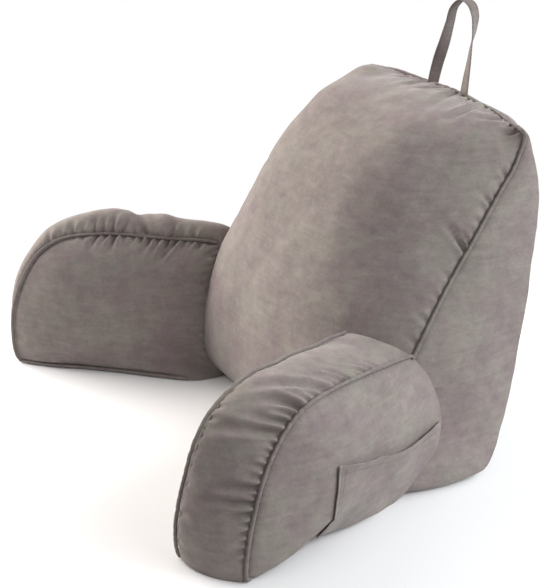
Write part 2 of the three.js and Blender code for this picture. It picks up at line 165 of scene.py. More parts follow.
TABLE_SAMPLES = 2001              # places read between a table's first row and its last
NEAR_SEAM = [0, 1.3, 2.6, 4, 5.6, 7.6, 10, 13, 16.5, 20.5, 25]
BACK_ROW_STEP = 2.9
BACK_COLUMN_STEP = 4.0
BACK_MEAN_HALF = 255
BACK_SIDE_COLUMNS = [0, 0.008, 0.018, 0.035, 0.06, 0.095, 0.14, 0.2, 0.27, 0.35, 0.43]


def smooth_rows(rows, places, closed=False):
    """Rows between the rows of a table, each column smoothed through its neighbours."""
    rows, places = np.asarray(rows, float), np.asarray(places, float)
    count = len(rows)
    low = np.floor(places).astype(int)
    if not closed:
        low = np.clip(low, 0, count - 2)
    t = (places - low)[:, None]
    pick = (lambda k: rows[k % count]) if closed else (lambda k: rows[np.clip(k, 0, count - 1)])
    a, b, c, d = pick(low - 1), pick(low), pick(low + 1), pick(low + 2)
    return 0.5 * (2 * b + (c - a) * t + (2 * a - 5 * b + 4 * c - d) * t**2 + (3 * b - a - 3 * c + d) * t**3)


def run_length(points):
    """How far along a line each of its points lies."""
    steps = np.linalg.norm(np.diff(points, axis=0), axis=-1)
    return np.concatenate([np.zeros_like(steps[:1]), np.cumsum(steps, axis=0)])


def table_run(table, columns, samples=TABLE_SAMPLES):
    """Many places from a table's first row to its last, and how far along the table's line each lies."""
    places = np.linspace(0, len(table) - 1, samples)
    return places, run_length(smooth_rows(table, places)[:, columns])


def read_at(places, run, line):
    """A line's points, read at places along its run."""
    return np.stack([np.interp(places, run, axis) for axis in line.T], -1)


def hump(g):
    """0 at both ends of a run, 1 in its middle."""
    return 4 * g * (1 - g)


def both_ends(near, far, step):
    """Stations from near to far, close together at both ends as NEAR_SEAM is, and a step apart between."""
    start = near + np.array(NEAR_SEAM)
    end = far - np.array(NEAR_SEAM)[::-1]
    count = max(2, round((end[0] - start[-1]) / step))
    return np.concatenate([start, np.linspace(start[-1], end[0], count + 1)[1:-1], end])


def cushion_cover(name, rings, poles=(), flip=False):
    """A closed cover over rings of points, in millimetres. Each end meets at a pole, or is sewn shut."""
    count, around = rings.shape[:2]
    points = list(rings.reshape(-1, 3)) + list(poles)
    faces = []
    for start in range(0, (count - 1) * around, around):
        for i in range(around):
            j = (i + 1) % around
            faces.append((start + i, start + j, start + around + j, start + around + i))
    last = (count - 1) * around
    if len(poles):
        faces += [(i, count * around, (i + 1) % around) for i in range(around)]
        faces += [(last + i, last + (i + 1) % around, count * around + 1) for i in range(around)]
    else:
        for i in range(around // 2 - 1):
            faces.append((i, around - 1 - i, around - 2 - i, i + 1))
            faces.append((last + i, last + i + 1, last + around - 2 - i, last + around - 1 - i))
    if flip:
        faces = [face[::-1] for face in faces]
    mesh = bpy.data.meshes.new(name)
    mesh.from_pydata([tuple(p) for p in np.array(points) * MM], [], faces)
    cover = bpy.data.objects.new(name, mesh)
    bpy.context.scene.collection.objects.link(cover)
    mesh.polygons.foreach_set("use_smooth", [True] * len(mesh.polygons))
    mesh.update()
    return cover


def corners_of(piece):
    """The places of a piece's mesh corners, in millimetres."""
    flat = np.empty(3 * len(piece.data.vertices))
    piece.data.vertices.foreach_get("co", flat)
    return flat.reshape(-1, 3) / MM


def put_corners(piece, points):
    """Move a piece's mesh corners to these places, in millimetres."""
    piece.data.vertices.foreach_set("co", (points * MM).ravel())
    piece.data.update()


def normals_of(piece):
    """The way out of a piece's mesh at each corner."""
    flat = np.empty(3 * len(piece.data.vertices))
    piece.data.vertices.foreach_get("normal", flat)
    return flat.reshape(-1, 3)


SEAM_HOLDS = 0.85                 # the share of a fold's depth that its seam holds back, right beside it
SEAM_HOLDS_REACH = 2.5
FOLD_OPENS = (0.75, 0.7)          # a fold's width at its seam and how much it gains by its end, as shares
RIDGE_HEIGHT = 0.42               # the low ridge on each side of a fold: a share of the fold's depth,
RIDGE_PLACE = 1.75                # and its place and width, as shares of the fold's width
RIDGE_WIDTH = 0.75
GATHER_WIDTH = 0.3                # a small gather's width, as a share of the gap to the next one
GATHER_LEAN = 0.25
SWELL_SPREAD = (0.7, 1.5)
SWELL_WAVES = 14
ANY_START = (0, 7)                # a wave may start anywhere, in radians
NOT_ZERO = 0.01                   # keeps a division safe, in millimetres


def pleats(along, away, folds):
    """How deep each point lies in the folds that run out from a seam, given how far along the seam it is
    and how far away from it. A fold is its place, length, depth, width and lean."""
    drop = np.zeros_like(along)
    rise = 1 - SEAM_HOLDS * np.exp(-away / SEAM_HOLDS_REACH)
    for place, length, depth, width, lean in folds:
        spread = width * (FOLD_OPENS[0] + FOLD_OPENS[1] * np.clip(away / length, 0, 1))
        off = (along - place - lean * away) / spread
        fade = np.clip(1 - away / length, 0, 1)
        fade = fade * fade * (3 - 2 * fade)
        ridges = RIDGE_HEIGHT * np.exp(-(((np.abs(off) - RIDGE_PLACE) / RIDGE_WIDTH) ** 2))
        drop += depth * fade * rise * (np.exp(-(off**2)) - ridges)
    return np.where(away >= 0, drop, 0)


def small_gathers(dice, first, last, spacing, length, depth):
    """Small uneven folds side by side along a seam. Each size is its least and most."""
    folds, place = [], first
    while place < last:
        gap = dice.uniform(*spacing)
        sizes = dice.uniform(*length), dice.uniform(*depth)
        folds.append((place, *sizes, GATHER_WIDTH * gap, dice.uniform(-GATHER_LEAN, GATHER_LEAN)))
        place += gap
    return folds


def soft_swell(points, dice, swells):
    """Low uneven swells over stuffed cloth, each set given by how far apart and how high they are."""
    total = 0
    for size, height in swells:
        swell = np.zeros(len(points))
        for _ in range(SWELL_WAVES):
            way = dice.normal(size=3)
            way /= np.linalg.norm(way)
            wave = size * dice.uniform(*SWELL_SPREAD)
            swell += np.sin(points @ way * (2 * math.pi / wave) + dice.uniform(*ANY_START))
        total = total + height * swell / math.sqrt(SWELL_WAVES)
    return total


def nearest_in(points):
    """A tree that finds the nearest of some points."""
    tree = KDTree(len(points))
    for i, p in enumerate(points):
        tree.insert(p, i)
    tree.balance()
    return tree


def gaps_to(tree, points):
    """How far each point is from the nearest one in a tree."""
    return np.array([tree.find(p)[2] for p in points])


def clear_of(points, path, reach):
    """Points nearer to a piping's middle line than reach, pushed out of it."""
    tree = nearest_in(path)
    low, high = path.min(0) - reach, path.max(0) + reach
    moved = points.copy()
    for i in np.where(((points > low) & (points < high)).all(1))[0]:
        middle, _, gap = tree.find(points[i])
        if gap < reach:
            out = points[i] - np.array(middle)
            moved[i] = np.array(middle) + out * reach / max(gap, NOT_ZERO)
    return moved


def back_rings(rows, sides):
    """The back cushion's rings: half the left side, the front, the right side, the rear, and so round."""
    half, sy, sz, my, mz, square, bulge, skew, rhalf, ry, rz, rmy, rmz = rows.T[:, :, None]
    s = sides[None, :]
    crown = 1 - np.abs(s) ** square
    front = np.stack([s * half, sy + (my - sy) * crown, sz + (mz - sz) * crown - s * skew], -1)
    crown = 1 - np.abs(s) ** REAR_SQUARE
    rear = np.stack([s * rhalf, ry + (rmy - ry) * crown, rz + (rmz - rz) * crown - s * skew], -1)
    g = np.array(BACK_SIDE_COLUMNS[1:])
    g = np.concatenate([g, 1 - g[::-1]])
    ways = {}
    for name, i, side in [("left", 0, -1), ("right", -1, 1)]:
        way = front[:, i, None] + g[None, :, None] * (rear[:, i, None] - front[:, i, None])
        way[..., 0] += side * bulge * hump(g)[None, :]
        ways[name] = way
    middle = len(g) // 2
    left = ways["left"][:, ::-1]
    rings = np.concatenate([left[:, middle:], front, ways["right"], rear[:, ::-1], left[:, :middle]], 1)
    rings[..., 1] += TABLE_TO_FRAME_Y
    return rings


STUFFING_FRAMES = 20
STUFFING_PRESSURE = 5
STUFFING_MOST = 5                 # millimetres that a panel may swell
STUFFING_ROWS = 3                 # every third row and column is simulated
STUFFING_STIFFNESS = 15
STUFFING_BENDING = 0.5
ON_THE_FLOOR = 0.5                # a cover's points below this height are held, in millimetres


def stuffed(rings, seam_rows, seam_columns=(), poles=(), flip=False):
    """Rings as the stuffing swells them. A coarser cover is blown up by cloth simulation with its seams
    held, and the way that it moves is spread over the fine rings."""
    count, around = rings.shape[:2]
    rows = np.unique([*range(0, count, STUFFING_ROWS), count - 1, *seam_rows])
    seams_near = [min(column, around - 1 - column) for column in seam_columns]
    half_round = np.unique([*range(0, around // 2, STUFFING_ROWS), *seams_near])
    columns = np.concatenate([half_round, around - 1 - half_round[::-1]])
    trial = cushion_cover("stuffing_trial", rings[rows][:, columns], poles, flip)
    before = corners_of(trial)
    on_seam = np.zeros(len(before), bool)
    on_seam[:len(rows) * len(columns)] = np.logical_or.outer(
        np.isin(rows, seam_rows), np.isin(columns, list(seam_columns))).ravel()
    pinned = np.where(on_seam | (before[:, 2] < ON_THE_FLOOR))[0]
    trial.vertex_groups.new(name="held").add([int(i) for i in pinned], 1.0, "REPLACE")
    cloth = trial.modifiers.new("stuffing", "CLOTH")
    cloth.settings.quality = 5
    cloth.settings.tension_stiffness = cloth.settings.compression_stiffness = STUFFING_STIFFNESS
    cloth.settings.bending_stiffness = STUFFING_BENDING
    cloth.settings.use_pressure = True
    cloth.settings.uniform_pressure_force = STUFFING_PRESSURE
    cloth.settings.effector_weights.gravity = 0
    cloth.settings.vertex_group_mass = "held"
    cloth.collision_settings.use_collision = False
    cloth.point_cache.frame_end = STUFFING_FRAMES
    for moment in range(1, STUFFING_FRAMES + 1):
        bpy.context.scene.frame_set(moment)
    moved = corners_of(trial.evaluated_get(bpy.context.evaluated_depsgraph_get())) - before
    moved = moved[:len(rows) * len(columns)].reshape(len(rows), len(columns), 3)
    bpy.data.objects.remove(trial)
    bpy.context.scene.frame_set(1)
    far = np.linalg.norm(moved, axis=-1, keepdims=True)
    moved *= np.minimum(1, STUFFING_MOST / np.maximum(far, NOT_ZERO))
    every, down = np.arange(around), np.arange(count)
    wide = np.array([[np.interp(every, columns, way, period=around) for way in line.T] for line in moved])
    spread = np.array([[np.interp(down, rows, way) for way in line.T] for line in wide.transpose(2, 0, 1)])
    swollen = rings + spread.transpose(2, 0, 1)
    swollen[..., 2] = swollen[..., 2].clip(0)
    return swollen


places, seam_run = table_run(BACK_LEVELS, slice(0, 3))
stations = both_ends(0, seam_run[-1], BACK_ROW_STEP)
back_rows = smooth_rows(BACK_LEVELS, np.interp(stations, seam_run, places))
front_sides = both_ends(-BACK_MEAN_HALF, BACK_MEAN_HALF, BACK_COLUMN_STEP) / BACK_MEAN_HALF
rings = back_rings(back_rows, front_sides)
side_count = 2 * (len(BACK_SIDE_COLUMNS) - 1)
front_from = side_count // 2
front_to = front_from + len(front_sides)
right_to = front_to + side_count
rear_to = right_to + len(front_sides)
seam_columns = [front_from, front_to - 1, right_to, rear_to - 1]
rings = stuffed(rings, [len(rings) - 1], seam_columns)
back = cushion_cover("back_cushion_velvet", rings)

# How far along and away from its seams each point of the front and of the two side panels lies.
rows_up = np.repeat(stations[:, None], rings.shape[1], 1)
from_top = run_length(rings[::-1])[::-1]
round_ring = run_length(np.concatenate([rings, rings[:, :1]], 1).transpose(1, 0, 2)).T[:, :-1]
from_right = round_ring[:, front_to - 1, None] - round_ring
from_left = round_ring - round_ring[:, front_from, None]
on_front = np.zeros(rings.shape[:2])
on_front[:, front_from:front_to] = 1
on_right = np.zeros(rings.shape[:2])
on_right[:, front_to:right_to] = 1
along_top = np.zeros(rings.shape[:2])
along_top[:, front_from:front_to] = front_sides * BACK_LEVELS[-1][0]
along_top[:, right_to:rear_to] = front_sides[::-1] * BACK_LEVELS[-1][0]

# The deep folds under the top seam and beside the right piping, each as it lies:
# its place along the seam, length, depth, width and lean.
TOP_FOLDS = [
    (-40, 95, 8.5, 6, 0.28), (-22, 30, 3.4, 4, 0.1), (6, 80, 6.5, 5, 0.05), (28, 135, 6.5, 6, 0.62),
    (43, 26, 3.6, 4, 0.4), (58, 80, 6.0, 4.4, 0.65), (73, 24, 3.6, 3.6, 0.4), (86, 50, 5.2, 4, 0.3),
    (105, 110, 10.4, 6, 0.27), (119, 24, 3.9, 3.6, 0), (132, 42, 5.9, 4, -0.2), (148, 26, 4.4, 3.8, -0.3),
    (164, 56, 9.8, 5, -0.45), (180, 24, 4.4, 3.8, -0.4), (195, 40, 7.8, 4, -0.5), (-60, 34, 3.4, 4.4, 0.1),
    (-82, 60, 5.2, 5, 0.2), (-104, 30, 3.1, 4, 0), (-128, 46, 4.2, 5, 0.1), (-148, 26, 3.1, 4, 0),
    (-168, 36, 3.9, 4.4, 0.1), (-190, 24, 3.1, 4, 0),
]
RIGHT_FOLDS = [
    (391, 66, 8.0, 4.6, 0.75), (404, 36, 4.4, 3.6, 0.6), (420, 18, 2.4, 3.4, 0.4), (436, 24, 3.2, 3.6, 0.4),
    (455, 20, 3.4, 3.2, 0.4), (467, 34, 5.0, 3.8, 0.6), (480, 16, 2.4, 3.2, 0.4), (498, 16, 2.4, 3.4, 0.4),
    (514, 24, 4.4, 3.8, 0.6), (536, 16, 2.4, 3.4, 0.3), (376, 16, 2.2, 3.4, 0.3), (350, 28, 3.0, 4.4, 0.4),
    (334, 14, 1.8, 3.2, 0.2), (318, 22, 2.6, 4, 0.3), (300, 14, 1.8, 3.2, 0.2), (282, 32, 3.2, 4.6, 0.3),
    (265, 14, 1.8, 3.2, 0.2), (248, 24, 2.6, 4.4, 0.3),
]
LEFT_FOLDS = [
    (500, 40, 5.0, 5, -0.3), (440, 50, 5.0, 6, -0.4), (395, 30, 3.4, 5, -0.2), (330, 45, 4.2, 6, -0.3),
]
SIDE_FOLDS = [
    (512, 18, 2.6, 3.6, 0.2), (490, 12, 1.8, 3, 0.2), (468, 20, 3.0, 3.6, 0.2), (445, 12, 1.8, 3, 0),
    (424, 12, 1.8, 3, 0), (398, 22, 2.6, 3.6, 0.1), (360, 14, 1.8, 3.2, 0), (330, 12, 1.6, 3, 0),
    (300, 18, 2.2, 3.6, 0), (262, 14, 1.8, 3.2, 0),
]
# Long soft troughs over the front panel: the fullness that the top seam's folds let go into.
FRONT_DRAGS = [
    (60, 330, 2.2, 26, 0.55), (-30, 300, 2.0, 30, 0.15), (120, 240, 2.4, 22, 0.2), (-110, 260, 1.6, 28, -0.1),
]
DRAGS_START = 50                  # they deepen over this far from the top seam
# Small gathers from one place along a seam to another: the least and most of their spacing, length, depth.
TOP_GATHERS = (-204, 204, (8, 15), (9, 26), (0.5, 1.5))
EDGE_GATHERS = (215, 580, (8, 16), (7, 18), (0.4, 1.1))
SIDE_GATHERS = (215, 580, (9, 18), (6, 13), (0.3, 0.8))
BACK_SWELLS = [(140, 1.6), (45, 0.4)]    # how far apart, and how high
BACK_SETTLED = 12                 # folds and swells die away over this height above the floor

# Where the right rear seam, the top seam and the crown stray from the plain table, in millimetres.
RIGHT_REAR_STRAY = [
    # height, and how far the rear seam is drawn in (-) or pushed out (+)
    (0, -12), (12, -7), (24, -2), (36, 1), (62, 3), (84, 3), (103, 4), (122, 3), (142, 1), (163, -2),
    (183, -4), (205, -3), (225, -3.5), (247, -5), (268, -5), (290, -3.5), (312, 0), (355, 0), (376, -2),
    (395, -5), (415, -8), (440, -6),
]
TOP_SEAM_STRAY = [
    # along the seam from its middle, and how far it sags
    (-206, 0), (40, 0), (74, -4), (94, -5), (114, -6), (134, -7), (146, -8), (158, -10), (170, -9), (185, -6),
    (206, -4.5),
]
STRAY_REACH = 45
CROWN_SWELLS = [
    # x, y, z, reach, height
    (-150, 120, 415, 70, 5), (-150, 182, 450, 50, 1.5), (-138, 227, 468, 30, 12), (-190, 238, 458, 30, 4),
    (-150, 75, 360, 42, 2),
]

dice = np.random.default_rng(11)
high, out_by = np.array(RIGHT_REAR_STRAY).T
near_rear_seam = np.exp(-(((round_ring - round_ring[:, right_to, None]) / STRAY_REACH) ** 2))
rings[..., 1] += np.interp(rings[..., 2], high, out_by) * near_rear_seam
where_along, sag = np.array(TOP_SEAM_STRAY).T
rings[..., 2] += np.interp(rings[..., 0], where_along, sag) * np.exp(-from_top / STRAY_REACH)
put_corners(back, rings.reshape(-1, 3))
drop = sum(on_panel * pleats(along, away, folds) for on_panel, along, away, folds in [
    (on_front, along_top, from_top, TOP_FOLDS),
    (on_front * np.clip(from_top / DRAGS_START, 0, 1), along_top, from_top, FRONT_DRAGS),
    (on_front, along_top, from_top, small_gathers(dice, *TOP_GATHERS)),
    (on_front, rows_up, from_right, RIGHT_FOLDS),
    (on_front, rows_up, from_right, small_gathers(dice, *EDGE_GATHERS)),
    (on_front, rows_up, from_left, LEFT_FOLDS),
    (on_front, rows_up, from_left, small_gathers(dice, *EDGE_GATHERS)),
    (on_right, rows_up, -from_right, SIDE_FOLDS),
    (on_right, rows_up, -from_right, small_gathers(dice, *SIDE_GATHERS)),
])

settled = np.clip(rings[..., 2] / BACK_SETTLED, 0, 1).ravel()
points, outward = corners_of(back), normals_of(back)
lift = soft_swell(points, dice, BACK_SWELLS) - drop.ravel()
for x, y, z, reach, height in CROWN_SWELLS:
    lift += height * np.exp(-((points - (x, y, z)) ** 2).sum(1) / reach**2)
points += (settled * lift)[:, None] * outward
points[:, 2] = points[:, 2].clip(0)

# The piping's line: up the front panel's right edge, over the top seam and down its left edge.
PIPING_RADIUS = 2.45
PIPING_PROUD = 0.9
PUCKER = 0.28                     # how far the stitches pull a piping to and fro
PIPING_ROOM = PIPING_RADIUS + 0.3
SEAM_DIP = 3.5                    # how far the cloth turns in beside a piping
SEAM_DIP_REACH = 4.6
PIPING_STEP = 2                   # between the points of its line, which is eased this many times
BACK_PIPING_EASED = 6
BACK_MIDDLE = np.array((0, 60 + TABLE_TO_FRAME_Y, 250))
PIPED_FROM_Z = 167


def evenly(points, step):
    """A line's points, set a step apart."""
    run = run_length(points)
    return read_at(np.linspace(0, run[-1], max(2, round(run[-1] / step)) + 1), run, points)


def eased(points, times):
    """A line with its small kinks eased."""
    points = points.copy()
    for _ in range(times):
        points[1:-1] += 0.5 * (0.5 * (points[2:] + points[:-2]) - points[1:-1])
    return points


grid = points.reshape(rings.shape)
piped = grid[:, front_to - 1, 2] > PIPED_FROM_Z
back_piping_line = np.concatenate([
    grid[piped, front_to - 1], grid[-1, front_from:front_to][::-1][1:-1], grid[piped, front_from][::-1],
])
back_piping_line = eased(evenly(back_piping_line, PIPING_STEP), BACK_PIPING_EASED)
out = back_piping_line - BACK_MIDDLE
back_piping_line += PIPING_PROUD * out / np.linalg.norm(out, axis=1, keepdims=True)


def turned_in(points, outward, line):
    """Points beside a piping's line turned in towards its seam, and kept clear of the piping."""
    gap = gaps_to(nearest_in(line), points)
    sunk = points - (SEAM_DIP * np.exp(-((gap / SEAM_DIP_REACH) ** 1.5)))[:, None] * outward
    return clear_of(sunk, evenly(line, 1), PIPING_ROOM)


put_corners(back, turned_in(points, outward, back_piping_line))

# Short-pile velvet, taupe grey. Where the pile has been brushed one way or another it reads greener or
# more mauve, in soft smears; close to, it has a fine fibre grain.
VELVET_GREEN = (0.246, 0.224, 0.199, 1)
VELVET_MAUVE = (0.215, 0.175, 0.173, 1)
VELVET_SHEEN = (0.86, 0.83, 0.84, 1)
PILE_TURN = (0.3, 0.5, 0.2)       # how the pile's pattern lies across the object, in radians
ALONG_PILE = (0.3, 0.3, 1)        # patterns are drawn out where this is small
ALONG_BRUSH = (0.13, 0.13, 1)


def velvet(name, tone=1.0, sheen=0.25, grain=0.0007):
    """A velvet of one tone, its patterns on Object coordinates."""
    cloth = bpy.data.materials.new(name)
    cloth.use_nodes = True
    nodes, links = cloth.node_tree.nodes, cloth.node_tree.links
    shader = nodes["Principled BSDF"]
    place = nodes.new("ShaderNodeTexCoord")

    def noise(scale, detail, roughness, distortion=0.0, stretch=(1, 1, 1)):
        turn = nodes.new("ShaderNodeMapping")
        turn.inputs["Scale"].default_value = stretch
        turn.inputs["Rotation"].default_value = PILE_TURN
        links.new(place.outputs["Object"], turn.inputs["Vector"])
        made = nodes.new("ShaderNodeTexNoise")
        made.inputs["Scale"].default_value = scale
        made.inputs["Detail"].default_value = detail
        made.inputs["Roughness"].default_value = roughness
        made.inputs["Distortion"].default_value = distortion
        links.new(turn.outputs["Vector"], made.inputs["Vector"])
        return made.outputs["Fac"]

    def mix(kind, factor, a, b):
        made = nodes.new("ShaderNodeMix")
        made.data_type = "RGBA"
        made.blend_type = kind
        for socket, value in [(made.inputs[0], factor), (made.inputs[6], a), (made.inputs[7], b)]:
            if isinstance(value, bpy.types.NodeSocket):
                links.new(value, socket)
            else:
                socket.default_value = value
        return made.outputs[2]

    def summed(start, parts):
        """start, and each part's share of its swing about a half."""
        total = start - 0.5 * sum(share for _, share in parts)
        for source, share in parts:
            made = nodes.new("ShaderNodeMath")
            made.operation = "MULTIPLY_ADD"
            made.inputs[1].default_value = share
            links.new(source, made.inputs[0])
            if isinstance(total, float):
                made.inputs[2].default_value = total
            else:
                links.new(total, made.inputs[2])
            total = made.outputs[0]
        return total

    toned = [tuple(tone * v for v in colour[:3]) + (1,) for colour in (VELVET_GREEN, VELVET_MAUVE)]
    smears = summed(0.5, [(noise(12, 3, 0.55, 0.8), 2.5), (noise(50, 3, 0.6, 0.4), 1.9)])
    streaks = noise(95, 3, 0.6, 0.5, ALONG_PILE)
    brushed = noise(190, 3, 0.6, 0.3, ALONG_BRUSH)
    flecks = noise(330, 3, 0.7)
    fibres = noise(1300, 2, 0.6)
    shade = summed(1.0, [
        (noise(24, 2, 0.5, 0.4), 0.22), (noise(70, 3, 0.6, 0.3), 0.30), (streaks, 0.32),
        (brushed, 0.32), (flecks, 0.40),
    ])
    colour = mix("MULTIPLY", 1.0, mix("MIX", smears, toned[0], toned[1]), shade)
    links.new(colour, shader.inputs["Base Color"])
    height = summed(0.0, [(streaks, 1.2), (flecks, 0.7), (fibres, 1.0)])
    bump = nodes.new("ShaderNodeBump")
    bump.inputs["Strength"].default_value = 0.4
    bump.inputs["Distance"].default_value = grain
    links.new(height, bump.inputs["Height"])
    links.new(bump.outputs["Normal"], shader.inputs["Normal"])
    shader.inputs["Roughness"].default_value = 0.92
    shader.inputs["Specular IOR Level"].default_value = 0.12
    shader.inputs["Sheen Weight"].default_value = sheen
    shader.inputs["Sheen Roughness"].default_value = 0.38
    shader.inputs["Sheen Tint"].default_value = VELVET_SHEEN
    return cloth


cover_velvet = velvet("cover_velvet")
back.data.materials.append(cover_velvet)
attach(back, "root")
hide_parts("back_cushion")

# ---------------------------------------------------------------- right arm
# A stuffed arm of the same velvet: two side panels and a band between them, which runs over the top, round
# the front and underneath. It is sewn to the back cushion, which presses into its rear end, and its band
# gathers in uneven folds where it is eased into the two pipings.
ARM_X = 208.2
ARM_Y = -208.6 + TABLE_TO_FRAME_Y
ARM_SPLAY = math.radians(24.1)
ARM_OUTLINE = [
    # inner panel u, v, h | outer panel u, v, h | band's bulge, on the right arm and on the left
    (-31, 12, 197, -65, 99, 173, 5, 24),
    (57, 17, 205, 27, 100, 188, 7, 32),
    (153, 18, 214, 114, 100, 195, 10, 38),
    (227, 17, 203, 190, 100, 188, 11, 30),
    (276, 13, 155, 245, 99, 141, 12, 24),
    (303, 5, 64, 274, 97, 69, 16, 15),
    (291, -2, 2, 281, 97, 1, 13, 8),
    (240, -22, 4, 237, 101, 14, 1, 1),
    (150, -44, 4, 150, 111, 7, 1, 1),
    (60, -75, 2, 66, 128, 1, 0, 0),
    (0, -88, 0, 20, 132, 0, 0, 0),
    (-60, -60, 10, -20, 146, 30, 0, 0),
    (-75, -45, 60, -57, 149, 63, 0, 0),
    (-75, -20, 120, -77, 139, 107, 0, 0),
    (-65, 0, 170, -75, 119, 147, 0, 0),
]
INNER_PIPED_ROWS = 9.6            # the pipings run along the outline's first stretches
OUTER_PIPED_ROWS = 6.2
INNER_MIDDLE = np.array((115, -50, 92))
OUTER_MIDDLE = np.array((92, 146, 90))
PANEL_CROWN_POWER = 2.6
PANEL_MEAN_RADIUS = 130
PANEL_STEPS = [0, 1.3, 2.6, 4, 6, 8.5, 11.5, 15, 19, 23.5, 28.5, 34, 40, 46, 53, 60, 68, 76, 85, 94, 104, 115]
BAND_ROUNDNESS = 0.75
BAND_STEPS = [1.3, 2.6, 4, 6, 8.5, 11.5, 15, 19, 23.5, 28.5, 34, 39.5, 45]
BAND_WIDTH = 100
ARM_COLUMNS = 640
ARM_SAMPLES = 3001                # places read round the outline table
INNER_SEAM = len(PANEL_STEPS) - 1
OUTER_SEAM = INNER_SEAM + 2 * len(BAND_STEPS) + 2
SEWN_GAP = 0.5
ARM_SWELLS = [(90, 1.3), (34, 0.3)]
ARM_SETTLED = 10                  # folds and swells die away over this height above the floor
ARM_PIPING_EASED = 4
PIPING_LOWEST = PIPING_RADIUS + 4.5 * PUCKER    # its puckers then stay above the floor


def arm_place(side, uvh):
    """From an arm's own frame, u forward, v outward and h up, to the shared one."""
    u, v, h = np.moveaxis(np.asarray(uvh, float), -1, 0)
    x = ARM_X + u * math.sin(ARM_SPLAY) + v * math.cos(ARM_SPLAY)
    return np.stack([side * x, ARM_Y - u * math.cos(ARM_SPLAY) + v * math.sin(ARM_SPLAY), h], -1)


def panel_ring(outline, middle, step):
    """A side panel's ring, drawn in from its outline towards its middle, which stands out as a crown."""
    r = 1 - step / PANEL_MEAN_RADIUS
    return middle + (outline - middle) * np.array((r, r**PANEL_CROWN_POWER, r))


def arm_rings(side):
    """An arm's rings, from its inner panel over the band to its outer one, how far along its outline each
    column is, and the place in ARM_OUTLINE of each column."""
    count = len(ARM_OUTLINE)
    fine_places = np.linspace(0, count, ARM_SAMPLES)
    fine = smooth_rows(ARM_OUTLINE, fine_places, closed=True)
    run = run_length((fine[:, 0:3] + fine[:, 3:6]) / 2)
    along = np.arange(ARM_COLUMNS) / ARM_COLUMNS * run[-1]
    places = np.interp(along, run, fine_places)
    rows = smooth_rows(ARM_OUTLINE, places, closed=True)
    inner, outer = rows[:, 0:3], rows[:, 3:6]
    inner[:, 2], outer[:, 2] = inner[:, 2].clip(0), outer[:, 2].clip(0)
    bulge = rows[:, 6] if side > 0 else rows[:, 7]
    ahead = np.roll(inner, -1, 0) - np.roll(inner, 1, 0)
    ahead /= np.hypot(ahead[:, 0], ahead[:, 2])[:, None]
    out = np.stack([-ahead[:, 2], 0 * bulge, ahead[:, 0]], -1)
    half = np.array(BAND_STEPS) / BAND_WIDTH
    band = []
    for g in [*half, 0.5, *(1 - half[::-1])]:
        ring = inner + g * (outer - inner) + (bulge * hump(g) ** BAND_ROUNDNESS)[:, None] * out
        ring[:, 2] = ring[:, 2].clip(0)
        band.append(ring)
    rings = [
        *[panel_ring(inner, INNER_MIDDLE, step) for step in PANEL_STEPS[::-1]],
        *band,
        *[panel_ring(outer, OUTER_MIDDLE, step) for step in PANEL_STEPS],
    ]
    return arm_place(side, rings), along, places


def arm_piping_line(side, rings, seam, places):
    """Where a piping lies: along a seam from the rear top, over and down the front, a little proud of it."""
    line = rings[seam, places <= (INNER_PIPED_ROWS if seam == INNER_SEAM else OUTER_PIPED_ROWS)]
    middle = (arm_place(side, INNER_MIDDLE) + arm_place(side, OUTER_MIDDLE)) / 2
    across = arm_place(side, (0, 1, 0)) - arm_place(side, (0, 0, 0))
    out = line - middle
    out -= (out @ across)[:, None] * across
    out /= np.linalg.norm(out, axis=1, keepdims=True)
    out += (1 if seam == OUTER_SEAM else -1) * across
    line = eased(evenly(line + PIPING_PROUD * math.sqrt(0.5) * out, PIPING_STEP), ARM_PIPING_EASED)
    line[:, 2] = line[:, 2].clip(PIPING_LOWEST)
    return line


back_tree = nearest_in(corners_of(back))


def sewn_arm(name, side, band_folds_outer, band_folds_inner, inner_folds, outer_folds, rear_folds):
    """An arm with its folds, and its two piping lines."""
    rings, along, places = arm_rings(side)
    poles = [arm_place(side, INNER_MIDDLE), arm_place(side, OUTER_MIDDLE)]
    rings = stuffed(rings, [INNER_SEAM, OUTER_SEAM], poles=poles, flip=side < 0)
    arm = cushion_cover(name, rings, poles, flip=side < 0)
    down = run_length(rings)
    from_inner, from_outer = down - down[INNER_SEAM], down - down[OUTER_SEAM]
    along = np.repeat(along[None, :], len(rings), 0)
    ring = np.arange(len(rings))[:, None]
    on_band = (ring >= INNER_SEAM) & (ring <= OUTER_SEAM)
    drop = pleats(along, -from_outer, band_folds_outer) + pleats(along, from_inner, band_folds_inner)
    drop *= on_band
    drop += (ring < INNER_SEAM) * pleats(along, -from_inner, inner_folds)
    drop += (ring > OUTER_SEAM) * pleats(along, from_outer, outer_folds)
    points, outward = corners_of(arm), normals_of(arm)
    lift = soft_swell(points, dice, ARM_SWELLS)
    lift -= np.append(drop.ravel(), (0, 0))
    on_inner = np.append(np.broadcast_to(ring < INNER_SEAM, down.shape), (True, False))
    lift -= on_inner * pleats(points[:, 2], gaps_to(back_tree, points), rear_folds)
    points += (np.clip(points[:, 2] / ARM_SETTLED, 0, 1) * lift)[:, None] * outward
    points[:, 2] = points[:, 2].clip(0)
    grid = points[:-2].reshape(rings.shape)
    lines = [arm_piping_line(side, grid, seam, places) for seam in (INNER_SEAM, OUTER_SEAM)]
    for line in lines:
        points = turned_in(points, outward, line)
    points = clear_of(points, evenly(back_piping_line, 1), PIPING_ROOM)
    points[:, 2] = points[:, 2].clip(0)
    put_corners(arm, points)
    return arm, lines


def copy_of(piece, grown=0.0):
    """A separate copy of a piece, grown along its normals by some millimetres."""
    made = piece.copy()
    made.data = piece.data.copy()
    bpy.context.scene.collection.objects.link(made)
    put_corners(made, corners_of(made) + grown * normals_of(made))
    return made


CREASE = math.radians(60)


